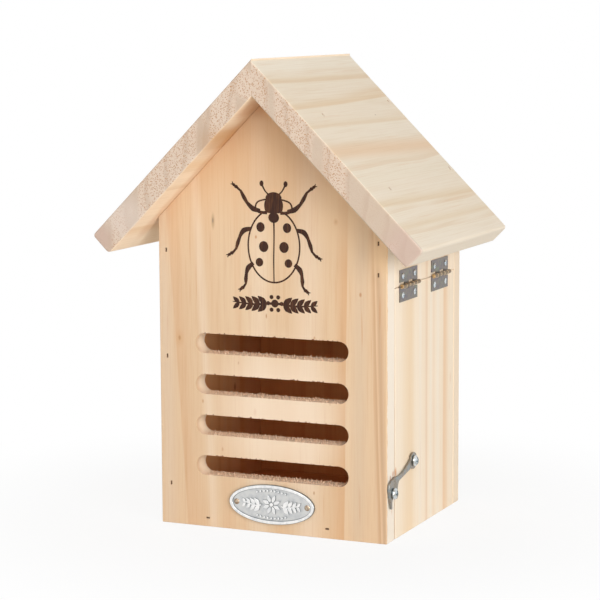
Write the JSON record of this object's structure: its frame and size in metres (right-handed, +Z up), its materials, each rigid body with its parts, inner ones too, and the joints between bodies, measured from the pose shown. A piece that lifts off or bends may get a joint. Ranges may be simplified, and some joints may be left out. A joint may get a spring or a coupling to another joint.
{
  "type": "ladybird house",
  "caption": "Gabled softwood insect shelter with slotted front, overhanging mitred roof boards and a top-hinged side door kept shut by a swinging latch hook.",
  "frame": {"origin": "centre of the body's underside, midway between its side faces and its front and back faces", "axes": "+Z up, +Y to the back, +X to the right seen from the front, towards the door"},
  "size_m": [0.1782, 0.1273, 0.2414],
  "materials": {
    "front_softwood": "bare planed softwood, warm",
    "body_softwood": "bare planed softwood",
    "roof_softwood": "bare planed softwood, pale",
    "hinge_steel": "stamped steel, bronzed",
    "hinge_brass": "brass-plated",
    "zinc_steel": "bright zinc plate",
    "plate_zinc": "polished rim, matte field",
    "pin_steel": "bright",
    "brad_steel": "dull",
    "burnt_print": "branded dark brown"
  },
  "bodies": {
    "house": {"front_panel": "front_softwood", "back_panel": "body_softwood", "left_wall": "body_softwood", "floor_panel": "body_softwood", "right_top_rail": "body_softwood", "roof_left_board": "roof_softwood", "roof_right_board": "roof_softwood", "front_hinge_upper_leaf": "hinge_steel", "rear_hinge_upper_leaf": "hinge_steel", "front_hinge_pin": "hinge_brass", "rear_hinge_pin": "hinge_brass", "front_hinge_upper_screws": "zinc_steel", "rear_hinge_upper_screws": "zinc_steel", "catch_screw": "zinc_steel", "hanger_plate": "zinc_steel", "hanger_screws": "zinc_steel", "nameplate": "plate_zinc", "nameplate_pins": "pin_steel", "front_panel_brads": "brad_steel", "back_panel_brads": "brad_steel", "roof_left_brads": "brad_steel", "roof_right_brads": "brad_steel"},
    "door": {"door": "body_softwood", "front_hinge_lower_leaf": "hinge_steel", "rear_hinge_lower_leaf": "hinge_steel", "front_hinge_lower_screws": "zinc_steel", "rear_hinge_lower_screws": "zinc_steel", "hook_pivot_screw": "zinc_steel"},
    "hook": {"latch_hook": "zinc_steel"}
  },
  "joints": [
    {"name": "door_swing", "type": "hinge", "parent": "house", "child": "door", "pos_m": [0.06445, 0, 0.1281], "axis": [0, -1, 0], "range_deg": [0, 130]},
    {"name": "hook_turn", "type": "hinge", "parent": "door", "child": "hook", "pos_m": [0.0639, -0.0189, 0.0364], "axis": [-1, 0, 0], "range_deg": [0, 270]}
  ]
}
